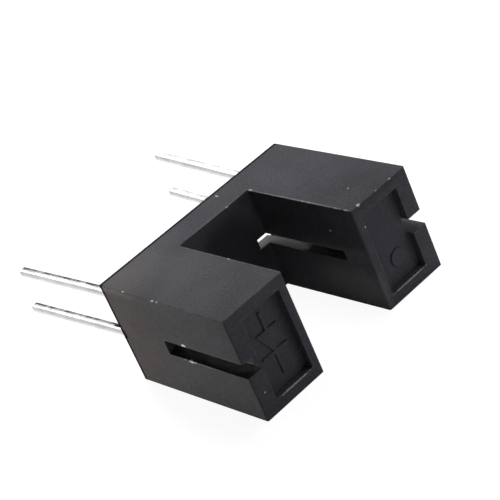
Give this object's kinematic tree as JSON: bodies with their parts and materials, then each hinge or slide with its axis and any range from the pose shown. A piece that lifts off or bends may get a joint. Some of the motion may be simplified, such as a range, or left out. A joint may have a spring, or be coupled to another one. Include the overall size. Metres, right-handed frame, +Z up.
{
  "type": "slotted optical switch",
  "caption": "U-shaped black optical switch: an emitter and a detector face each other across an open slot, and a flag in the slot breaks the light; straight tinned leads solder to a board.",
  "frame": {"origin": "middle of the face that sits on the circuit board, at half the thickness", "axes": "+X across the arms from the emitter to the detector, +Y along the leads away from the housing, +Z up through the thickness; the part lies on the broad face at -Z"},
  "size_m": [0.013, 0.0204, 0.006],
  "materials": {
    "housing": "black moulded plastic with a fine spark-eroded grain",
    "emitter_epoxy": "smoky blue tinted epoxy, smooth",
    "detector_epoxy": "black infrared-passing epoxy, smooth",
    "tinned_lead": "bright tin plating",
    "emitter_chip": "sawn semiconductor with a metal pad",
    "detector_chip": "polished semiconductor with a metal pad",
    "bond_wire": "drawn gold"
  },
  "bodies": {
    "root": {"housing": "housing", "emitter_body": "emitter_epoxy", "emitter_anode_lead": "tinned_lead", "emitter_cathode_lead": "tinned_lead", "emitter_chip": "emitter_chip", "emitter_bond_wire": "bond_wire", "detector_body": "detector_epoxy", "detector_collector_lead": "tinned_lead", "detector_emitter_lead": "tinned_lead", "detector_chip": "detector_chip", "detector_bond_wire": "bond_wire"}
  },
  "joints": []
}
